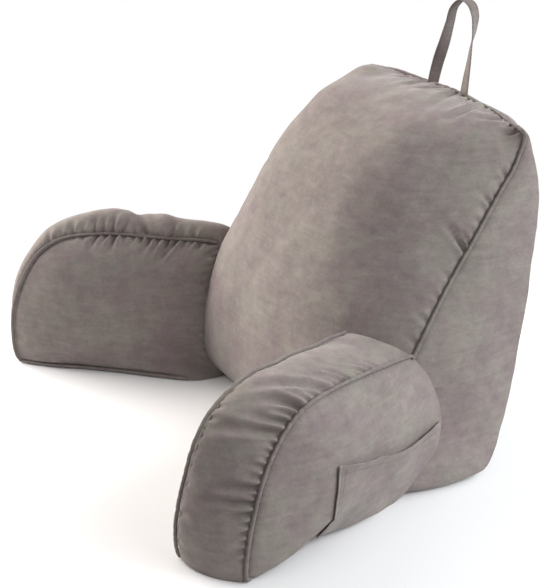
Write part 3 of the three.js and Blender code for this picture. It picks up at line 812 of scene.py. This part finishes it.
def cut_by(piece, cutter):
    """Take a cutter's room out of a piece."""
    bpy.ops.object.select_all(action="DESELECT")
    piece.select_set(True)
    bpy.context.view_layer.objects.active = piece
    cut = piece.modifiers.new("cut", "BOOLEAN")
    cut.object, cut.operation, cut.solver = cutter, "DIFFERENCE", "MANIFOLD"
    bpy.ops.object.modifier_apply(modifier=cut.name)
    while len(piece.data.materials) > 1:
        piece.data.materials.pop()
    piece.data.polygons.foreach_set("material_index", [0] * len(piece.data.polygons))
    bpy.ops.object.shade_smooth_by_angle(angle=CREASE)


def small_run(first, last, length=(5, 14), depth=(0.4, 1.0), spacing=(7, 14)):
    """The little gathers that run all along a piped seam."""
    return small_gathers(dice, first, last, spacing, length, depth)


# Each fold as it lies beside its piping: its place along the outline, length, depth, width and lean.
RIGHT_BAND_OUTER = [
    (73, 24, 3.0, 3.4, 0.9), (90, 22, 3.2, 3.4, 1.1), (103, 40, 4.6, 4.2, 1.2), (122, 16, 2.4, 3, 0.5),
    (140, 40, 4.0, 4.2, 0.72), (153, 38, 4.0, 4, 0.9), (172, 20, 2.6, 3.4, 0.6), (196, 99, 5.5, 10, 0.59),
    (216, 24, 4.0, 3.6, 0.45), (230, 22, 3.0, 3.4, 0.3), (248, 66, 9.5, 6, 0.15), (262, 42, 4.5, 4, 0.14),
    (274, 62, 6.0, 4.6, 0.19), (289, 112, 6.5, 6, 0.2), (302, 22, 4.0, 3.4, 0.15), (312, 22, 4.0, 3.2, 0.2),
    (321, 22, 3.6, 3, 0), (331, 27, 4.2, 3.4, 0.17), (344, 25, 4.0, 3.4, 0.18), (358, 74, 6.0, 5, 0.18),
    (370, 20, 3.6, 3.2, 0.1), (380, 91, 5.5, 5, 0.08), (394, 60, 5.5, 4.4, 0.2), (408, 24, 3.8, 3.4, 0.1),
    (420, 40, 4.6, 4, 0.18), (431, 24, 3.4, 3.2, 0.1), (441, 38, 4.2, 4, 0.17), (455, 22, 3.0, 3.4, 0.1),
]
RIGHT_BAND_INNER = [
    (200, 16, 2.4, 3.4, -1.2), (221, 16, 2.4, 3.4, -0.8), (252, 14, 2.0, 3.2, 0), (278, 20, 2.6, 3.4, 0),
    (295, 24, 3.0, 3.6, 0), (318, 12, 2.0, 3, 0), (333, 15, 2.4, 3.2, 0), (352, 12, 2.0, 3, 0),
    (372, 14, 2.2, 3.2, 0), (390, 12, 2.0, 3, 0), (408, 34, 3.4, 4.4, 0), (425, 14, 2.2, 3.2, 0.2),
    (441, 20, 2.6, 3.6, 0.47),
]
RIGHT_REAR_FOLDS = [(190, 14, 2.4, 3, 0), (150, 12, 2, 3, 0)]
arm_right, arm_right_lines = sewn_arm(
    "arm_right_velvet", 1,
    RIGHT_BAND_OUTER + small_run(20, 475, (6, 18), (0.6, 1.8), (6, 12)),
    RIGHT_BAND_INNER + small_run(20, 475, (5, 14), (0.6, 1.5), (6, 12)),
    small_run(20, 470),
    small_run(30, 478, (5, 12), (0.6, 1.6), (5, 10)),
    RIGHT_REAR_FOLDS,
)
back_room = copy_of(back, SEWN_GAP)
arm_right.data.materials.append(cover_velvet)
cut_by(arm_right, back_room)
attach(arm_right, "root")
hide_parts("arm_right")

# ---------------------------------------------------------------- left arm
# The right arm's mirror in cut, but stuffed rounder on top, with no pocket, and gathered in its own way:
# more on the inner panel, and with one fold right over the band.
LEFT_BAND_INNER = [
    (197, 40, 4.5, 4.5, 0), (183, 45, 4.5, 4.5, 0), (168, 50, 5.0, 4.5, 0.1), (154, 50, 5.0, 4.5, -0.1),
    (136, 40, 4.0, 4.4, 0), (116, 130, 5.0, 8, 0.5), (116, 150, 8.5, 22, 0.45), (77, 40, 5.0, 4.5, 0),
    (58, 24, 2.8, 4, 0.1), (40, 30, 3.6, 4.4, 0), (214, 26, 3.0, 4, 0.1), (230, 40, 3.4, 4.5, 0.1),
    (249, 24, 2.6, 4, 0), (268, 34, 3.0, 4.4, 0),
]
LEFT_BAND_OUTER = [
    (60, 50, 4.0, 4.5, 0.3), (85, 26, 3.0, 4, 0), (110, 40, 4.0, 4.5, -0.2), (132, 24, 2.6, 3.6, 0.1),
    (150, 60, 5.0, 6, 0.2), (178, 26, 3.0, 4, 0.1), (205, 44, 4.4, 5, 0.3), (228, 24, 3.0, 4, 0),
    (252, 62, 7.0, 6, 0.15), (271, 26, 3.4, 4, 0.1), (290, 44, 4.4, 4.4, 0.1), (306, 22, 3.0, 3.4, 0.1),
    (320, 24, 3.2, 3.6, 0.1), (338, 56, 5.0, 5, 0.2), (360, 24, 3.2, 3.6, 0), (384, 70, 5.0, 5, 0.1),
    (402, 22, 3.0, 3.4, 0.1), (418, 26, 3.4, 4, 0.1), (434, 38, 4.0, 4.4, 0.2), (452, 20, 2.6, 3.4, 0),
]
LEFT_INNER_FOLDS = [
    (161, 46, 8.6, 5.3, 0.46), (148, 22, 3.9, 4.1, 0.2), (134, 22, 4.1, 4.1, 0), (122, 34, 7.5, 4.8, 0),
    (108, 46, 8.6, 5.3, 0.27), (96, 22, 4.1, 4.1, 0), (79, 53, 9.2, 5.5, 0), (65, 50, 8.6, 5.3, 0.25),
    (50, 22, 4.1, 4.1, 0), (38, 19, 3.4, 4.1, -0.2), (26, 28, 5.5, 4.8, -0.38), (175, 22, 3.7, 4.1, 0.3),
    (189, 42, 6.2, 5.3, 0.76), (214, 19, 3.0, 4.1, 0.3),
]
LEFT_REAR_FOLDS = [
    # height, and length, depth, width and lean away from the back cushion
    (207, 22, 4.8, 3.4, 0.2), (198, 28, 5.4, 3.4, 0.1), (189, 20, 4.5, 3.2, 0), (181, 25, 5.1, 3.4, 0.1),
    (171, 17, 4.2, 3.4, 0), (160, 25, 4.8, 3.7, -0.1), (148, 17, 3.8, 3.4, 0), (134, 20, 3.8, 3.9, 0.1),
    (116, 14, 2.9, 3.4, 0), (94, 17, 3.2, 3.9, 0), (70, 20, 3.8, 3.9, -0.2), (56, 25, 4.5, 3.9, -0.3),
    (41, 31, 5.1, 3.9, -0.3), (28, 22, 4.2, 3.4, -0.2),
]
arm_left, arm_left_lines = sewn_arm(
    "arm_left_velvet", -1,
    LEFT_BAND_OUTER + small_run(20, 475, (6, 18), (0.6, 1.6), (6, 12)),
    LEFT_BAND_INNER + small_run(20, 475, (6, 18), (0.6, 1.6), (6, 12)),
    LEFT_INNER_FOLDS + small_run(20, 475, (5, 11), (0.3, 0.9), (8, 16)),
    small_run(30, 478, (5, 14), (0.6, 1.6), (6, 12)),
    LEFT_REAR_FOLDS,
)
arm_left.data.materials.append(cover_velvet)
cut_by(arm_left, back_room)
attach(arm_left, "root")
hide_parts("arm_left")

# ---------------------------------------------------------------- back cushion's piping
# A thin cord in a bias strip of the same velvet, sewn into the front panel's edge all the way up one side,
# over the top and down the other. Its stitches pucker it a little.
PIPING_SIDES = 14
PUCKER_WAVES = 5
PUCKER_LENGTHS = (6, 19)
PIPING_UNEVEN = 0.035             # how much its thickness changes, as a share, and over what lengths
UNEVEN_LENGTHS = (7.3, 31)
END_RING = (0.62, 0.75)           # the ring that rounds an end: its radius and how far on it lies, as shares
OFF_ANY_PIPING = (0.31, 0.52, 0.79)    # a way that no piping runs in


def piping_along(name, line, dice):
    """A round piping along a line, its ends rounded, puckered a little by its stitches."""
    ahead = np.gradient(line, axis=0)
    ahead /= np.linalg.norm(ahead, axis=1, keepdims=True)
    across = np.cross(ahead, OFF_ANY_PIPING)
    across /= np.linalg.norm(across, axis=1, keepdims=True)
    over = np.cross(ahead, across)
    run = run_length(line) * 2 * math.pi
    wave = sum(
        np.sin(run / dice.uniform(*PUCKER_LENGTHS) + dice.uniform(*ANY_START))[:, None] * dice.normal(size=3)
        for _ in range(PUCKER_WAVES)
    )
    middle = line + PUCKER / math.sqrt(3 * PUCKER_WAVES) * wave
    short, long = UNEVEN_LENGTHS
    thick = PIPING_RADIUS * (1 + PIPING_UNEVEN * np.sin(run / short) * np.sin(run / long + 1))
    turn = 2 * math.pi * np.arange(PIPING_SIDES) / PIPING_SIDES
    rings = middle[:, None] + thick[:, None, None] * (
        np.cos(turn)[None, :, None] * across[:, None] + np.sin(turn)[None, :, None] * over[:, None]
    )
    drawn_in, further = END_RING
    first, last = [
        middle[k] + (rings[k] - middle[k]) * drawn_in + way * further * PIPING_RADIUS * ahead[k]
        for k, way in [(0, -1), (-1, 1)]
    ]
    rings = np.concatenate([first[None], rings, last[None]])
    poles = [middle[0] - PIPING_RADIUS * ahead[0], middle[-1] + PIPING_RADIUS * ahead[-1]]
    return cushion_cover(name, rings, poles, flip=True)


# The piping is the cover's own velvet, but its tone is set darker here as painted shade: it deepens the dark
# line that runs beside each piping in its seam.
piping_velvet = velvet("piping_velvet", tone=0.86, sheen=0.25, grain=0.0004)
back_piping = piping_along("back_piping_velvet", back_piping_line, dice)
back_piping.data.materials.append(piping_velvet)
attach(back_piping, "root")
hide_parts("back_piping")

# ---------------------------------------------------------------- arms' pipings
# The same piping in the two long seams of each arm, from the back cushion over the top and down the
# front. The outer ones end at the floor, and the inner ones run on under the arm to the back cushion.
for side, lines in [("right", arm_right_lines), ("left", arm_left_lines)]:
    for seam, line in zip(("inner", "outer"), lines):
        arm_piping = piping_along(f"arm_{side}_{seam}_piping_velvet", line, dice)
        # the darker piping velvet, with its painted shade along the seams
        arm_piping.data.materials.append(piping_velvet)
        cut_by(arm_piping, back_room)
        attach(arm_piping, "root")
        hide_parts(f"arm_{side}_{seam}_piping")

# ---------------------------------------------------------------- pocket
# A patch of the same velvet sewn to the right arm's outer panel. Its hemmed top edge is open and stands
# off the arm a little, and its front edge is turned under and stitched twice.
POCKET_PLACES = [
    # from its rear end to its front edge: where it is sewn in, u and h | its open edge, u and h
    (-62, 79, -64, 93), (-45, 56, -42, 92), (-10, 33, -6, 91), (27, 12, 30, 93),
    (66, 7, 64, 98), (105, 7, 98, 106), (145, 10, 131, 114), (176, 21, 161, 121),
]
POCKET_THICK = 1.6
POCKET_EDGE_THICK = 0.35
POCKET_EDGE_STEPS = [0, 0.7, 1.4, 2.2, 3.1, 4.2, 5.5, 7, 8.7, 10.5, 13]
POCKET_ALONG_STEP = 2.4
POCKET_UP_STEP = 2.6              # a share of its depth, in hundredths
POCKET_HEM = 9.5                  # the hem's depth
HEM_THICK = 0.7                   # the hem's second layer, which ends over a short slope
HEM_ENDS_OVER = 1.5
HEM_LEAST_ROOM = 4                # the hem is stitched where the pocket is this much deeper than it
POCKET_LIES = 0.45                # how far off the arm it lies, and the least that it comes to
POCKET_LEAST = 0.35
POCKET_BACK_LEAST = 0.3
POCKET_EASED = 6                  # how often the arm's shape is eased, so that its folds don't show through
POCKET_OPEN = 0.5                 # how much further its open edge stands off at its ends,
POCKET_GAPE = 7                   # and how much more in the middle, both dying away over this depth
POCKET_GAPE_REACH = 9
POCKET_SWELL = 0.25               # a low wave along the pocket: height, and length in radians
POCKET_SWELL_LENGTH = 11
FRONT_ROLL = 1.7                  # its front edge is turned under, so it stands up in a roll
FRONT_ROLL_WIDTH = 3.2
HEM_DENT = (0.5, 1.3)             # how deep its stitches draw the hem in, and how wide
FRONT_STITCHES = [(5, 0.35), (10.5, 0.25)]    # from its front edge, and how deep they draw it in
FRONT_DENT_WIDTH = 1.1
RIPPLE = 0.16                     # how high the cloth ripples along its stitches
HEM_RIPPLE = (6.7, 3)             # length and width
FRONT_RIPPLE = (6.1, 4)
BETWEEN_STITCHES = 7              # where the front ripple lies, from the front edge
STITCH_LONG = 2.5
STITCH_THICK = 0.55
STITCH_PITCH = 3.3
FROM_OUTSIDE = 300                # the arm's outer panel is looked for from here


def finer_at_ends(length, steps, coarse):
    """Distances from 0 to length, close together at both ends."""
    start, end = np.array(steps), length - np.array(steps)[::-1]
    count = max(2, round((length - 2 * start[-1]) / coarse))
    return np.concatenate([start, np.linspace(start[-1], end[0], count + 1)[1:-1], end])


def dent(gap, width):
    """1 on a line and 0 away from it."""
    return np.exp(-((gap / width) ** 2))


def double_sided(name, outside, inside):
    """A thin closed sheet between two grids of points."""
    return cushion_cover(name, np.concatenate([outside, inside[:, ::-1]], 1))


def sewn_stitches(name, spots, thick, thread):
    """Stitches, each at a spot: its place, the way along it and the way out of the cloth."""
    bpy.ops.mesh.primitive_uv_sphere_add(segments=8, ring_count=6, radius=1)
    model = bpy.context.object
    model.data.polygons.foreach_set("use_smooth", [True] * len(model.data.polygons))
    sewn = []
    for place, along, out in spots:
        across = np.cross(out, along)
        one = model.copy()
        one.data = model.data.copy()
        turned = np.eye(4)
        turned[:3] = np.stack([along * STITCH_LONG / 2, across * thick / 2, out * thick / 2, place], 1) * MM
        one.matrix_world = Matrix(turned.tolist())
        bpy.context.scene.collection.objects.link(one)
        sewn.append(one)
    bpy.data.objects.remove(model)
    bpy.ops.object.select_all(action="DESELECT")
    for one in sewn:
        one.select_set(True)
    bpy.context.view_layer.objects.active = sewn[0]
    bpy.ops.object.join()
    bpy.ops.object.transform_apply(location=True, rotation=True, scale=True)
    sewn[0].name = name
    sewn[0].data.materials.append(thread)
    return sewn[0]


def spots_along(line, outs, spacing, start=1.0):
    """Evenly spaced spots on a line of points, with the way along and the way out at each."""
    run = run_length(line)
    at = np.arange(start, run[-1] - start, spacing)
    place, out, ahead = [read_at(at, run, values) for values in (line, outs, np.gradient(line, axis=0))]
    ahead /= np.linalg.norm(ahead, axis=1, keepdims=True)
    out -= (out * ahead).sum(1, keepdims=True) * ahead
    return list(zip(place, ahead, out / np.linalg.norm(out, axis=1, keepdims=True)))


places, pocket_run = table_run(POCKET_PLACES, slice(2, 4))
pocket_along = finer_at_ends(pocket_run[-1], POCKET_EDGE_STEPS, POCKET_ALONG_STEP)
rows = smooth_rows(POCKET_PLACES, np.interp(pocket_along, pocket_run, places))
g = finer_at_ends(100, POCKET_EDGE_STEPS, POCKET_UP_STEP)[None, :, None] / 100
pocket_uh = rows[:, None, 0:2] + g * (rows[:, None, 2:4] - rows[:, None, 0:2])
inward = -(arm_place(1, (0, 1, 0)) - arm_place(1, (0, 0, 0)))
under = np.empty((*pocket_uh.shape[:2], 3))
for k, line in enumerate(pocket_uh):
    for i, (u, h) in enumerate(line):
        start = arm_place(1, (u, FROM_OUTSIDE, h))
        under[k, i] = np.array(arm_right.ray_cast(Vector(start * MM), Vector(inward))[1]) / MM
smooth_under = under.copy()
for _ in range(POCKET_EASED):
    beside = smooth_under[2:, 1:-1] + smooth_under[:-2, 1:-1]
    smooth_under[1:-1, 1:-1] = 0.25 * (beside + smooth_under[1:-1, 2:] + smooth_under[1:-1, :-2])
proud = np.maximum(0, (under - smooth_under) @ -inward)
smooth_under -= inward * proud[..., None]
pocket_out = np.cross(np.gradient(smooth_under, axis=1), np.gradient(smooth_under, axis=0))
pocket_out *= np.sign(pocket_out @ -inward)[..., None]
pocket_out /= np.linalg.norm(pocket_out, axis=-1, keepdims=True)
g = g[..., 0]
deep = np.linalg.norm(rows[:, 2:4] - rows[:, 0:2], axis=1)[:, None]
from_open, from_sewn = (1 - g) * deep, g * deep
pocket_along = pocket_along[:, None] + 0 * g
from_front = pocket_run[-1] - pocket_along
open_along = hump(np.clip(pocket_along / pocket_run[-1], 0, 1))

# How far the pocket's middle lies off the arm: gaping along the open edge, rolled at the front edge, and
# drawn in and rippled a little along its stitches.
lift = POCKET_LIES + (POCKET_OPEN + POCKET_GAPE * open_along**0.6) * np.exp(-from_open / POCKET_GAPE_REACH)
swell = POCKET_SWELL * np.sin(pocket_along / POCKET_SWELL_LENGTH + 1) * hump(g)
lift += FRONT_ROLL * dent(from_front, FRONT_ROLL_WIDTH) + swell
lift -= HEM_DENT[0] * dent(from_open - POCKET_HEM, HEM_DENT[1])
for from_edge, depth in FRONT_STITCHES:
    lift -= depth * dent(from_front - from_edge, FRONT_DENT_WIDTH)
for run, gap, (length, width) in [
    (pocket_along, from_open - POCKET_HEM, HEM_RIPPLE),
    (from_sewn, from_front - BETWEEN_STITCHES, FRONT_RIPPLE),
]:
    lift += RIPPLE * np.sin(run * 2 * math.pi / length) * dent(gap, width)
middle = lift.clip(POCKET_LEAST) + 0.5 * POCKET_THICK
in_edge = np.clip(np.minimum.reduce([from_open, from_sewn, from_front, pocket_along]) / POCKET_THICK, 0, 1)
thick = POCKET_EDGE_THICK + (POCKET_THICK - POCKET_EDGE_THICK) * np.sqrt(1 - (1 - in_edge) ** 2)
thick += HEM_THICK * np.clip((POCKET_HEM - from_open) / HEM_ENDS_OVER, 0, 1) * in_edge
pocket_top = smooth_under + pocket_out * (middle + 0.5 * thick)[..., None]
pocket_back = smooth_under + pocket_out * np.maximum(middle - 0.5 * thick, POCKET_BACK_LEAST)[..., None]
pocket = double_sided("pocket_velvet", pocket_top, pocket_back)
pocket.data.materials.append(cover_velvet)
thread = velvet("thread", tone=0.62, sheen=0.1)
every = np.arange(g.shape[1])
hem_line, hem_out = [
    np.array([
        read_at(np.interp(POCKET_HEM, gaps[::-1], every[::-1]), every, line)
        for gaps, line in zip(from_open, grid)
    ])[deep[:, 0] > POCKET_HEM + HEM_LEAST_ROOM]
    for grid in (pocket_top, pocket_out)
]
spots = spots_along(hem_line, hem_out, STITCH_PITCH)
for from_edge, _ in FRONT_STITCHES:
    k = np.argmin(np.abs(from_front[:, 0] - from_edge))
    spots += spots_along(pocket_top[k, 2:-2], pocket_out[k, 2:-2], STITCH_PITCH)
pocket_stitches = sewn_stitches("pocket_stitches", spots, STITCH_THICK, thread)
for made in (pocket, pocket_stitches):
    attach(made, "root")
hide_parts("pocket")

# ---------------------------------------------------------------- handle
# A carrying loop: a strip of the velvet folded to a flat strap and stitched along both edges, its ends
# caught in the top seam behind the piping. It stands up and leans over a little to the rear.
HANDLE_PLACES = [
    # from the middle of the top seam: x, y, z, and the way its width lies in degrees from +X
    (-40, -1, -8, 28), (-40, 1, 8, 32), (-40, 8, 35, 48), (-37, 15, 62, 72), (-32, 20, 92, 95),
    (-23, 20, 116, 100), (-5, 23, 130, 96), (14, 25, 125, 97), (24, 25, 110, 110), (29, 21, 91, 126),
    (36, 12, 69, 148), (42, 5, 46, 160), (43, 1, 22, 172), (43, -1, 4, 178), (43, -2, -9, 180),
]
TOP_SEAM_MIDDLE = np.array((0, 118 + TABLE_TO_FRAME_Y, 460))
STRAP_WIDTH = 18
STRAP_THICK = 2
STRAP_STEP = 1.7
STRAP_STITCHED = 6.7              # from its middle line to its stitches
STRAP_STITCH_DENT = (0.28, 0.55)  # how deep they draw it in, and how wide
STRAP_RIPPLE = (0.1, 5.9, 1.2)    # outside them: height, length and width
STRAP_WAVERS = [(0.02, 23, 2), (0.012, 7.1, 0)]    # share of its width, length in radians, start
STRAP_THREAD = 0.5
STRAP_PITCH = 3.4
STRAP_STITCH_COLUMN = 5           # the column of STRAP_ACROSS where the stitches lie
STRAP_UNSTITCHED = 6              # rows at each end, inside the seam
STRAP_EDGE = 1.1                  # its edges are rounded over this width, down to this half thickness
STRAP_EDGE_THICK = 0.15
STRAP_SAMPLES = 3001
STRAP_ACROSS = [0, 0.35, 0.9, 1.5, 2.1, 2.7, 3.5, 5, 7, 9]

places, strap_run = table_run(HANDLE_PLACES, slice(0, 3), STRAP_SAMPLES)
at = np.linspace(0, strap_run[-1], round(strap_run[-1] / STRAP_STEP) + 1)
rows = smooth_rows(HANDLE_PLACES, np.interp(at, strap_run, places))
strap_middle = rows[:, :3] + TOP_SEAM_MIDDLE
ahead = np.gradient(strap_middle, axis=0)
ahead /= np.linalg.norm(ahead, axis=1, keepdims=True)
turn = np.radians(rows[:, 3])
flat_way = np.stack([np.cos(turn), np.sin(turn), 0 * turn], -1)
strap_out = np.cross(ahead, flat_way)
strap_out /= np.linalg.norm(strap_out, axis=1, keepdims=True)
across = np.cross(strap_out, ahead)
w = np.array(STRAP_ACROSS) - STRAP_WIDTH / 2
w = np.concatenate([w, -w[-2::-1]])[None, :]
w = w * (1 + sum(share * np.sin(at / length + start) for share, length, start in STRAP_WAVERS))[:, None]
in_edge = np.clip((STRAP_WIDTH / 2 - np.abs(w)) / STRAP_EDGE, 0, 1)
half_thick = STRAP_EDGE_THICK + (STRAP_THICK / 2 - STRAP_EDGE_THICK) * np.sqrt(1 - (1 - in_edge) ** 2)
depth, width = STRAP_STITCH_DENT
half_thick -= depth * dent(np.abs(w) - STRAP_STITCHED, width)
height, length, width = STRAP_RIPPLE
wave = np.sin(at * 2 * math.pi / length)[:, None]
half_thick += height * wave * dent(np.abs(w) - STRAP_STITCHED - 1, width)
flat_grid = strap_middle[:, None] + w[..., None] * across[:, None]
faces_of_strap = [flat_grid + side * half_thick[..., None] * strap_out[:, None] for side in (-1, 1)]
strap = double_sided("handle_velvet", *faces_of_strap)
strap_velvet = velvet("strap_velvet", tone=0.84, sheen=0.2, grain=0.0004)
strap.data.materials.append(strap_velvet)
piping_room = copy_of(back_piping, 0.3)
for cutter in (back_room, piping_room):
    cut_by(strap, cutter)
spots = []
stitched = slice(STRAP_UNSTITCHED, -STRAP_UNSTITCHED)
for face, side in zip(faces_of_strap, (-1, 1)):
    for column in (STRAP_STITCH_COLUMN, -1 - STRAP_STITCH_COLUMN):
        spots += spots_along(face[stitched, column], side * strap_out[stitched], STRAP_PITCH)
handle_stitches = sewn_stitches("handle_stitches", spots, STRAP_THREAD, thread)
for helper in (piping_room, back_room):
    bpy.data.objects.remove(helper)
for made in (strap, handle_stitches):
    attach(made, "root")
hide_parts("handle")
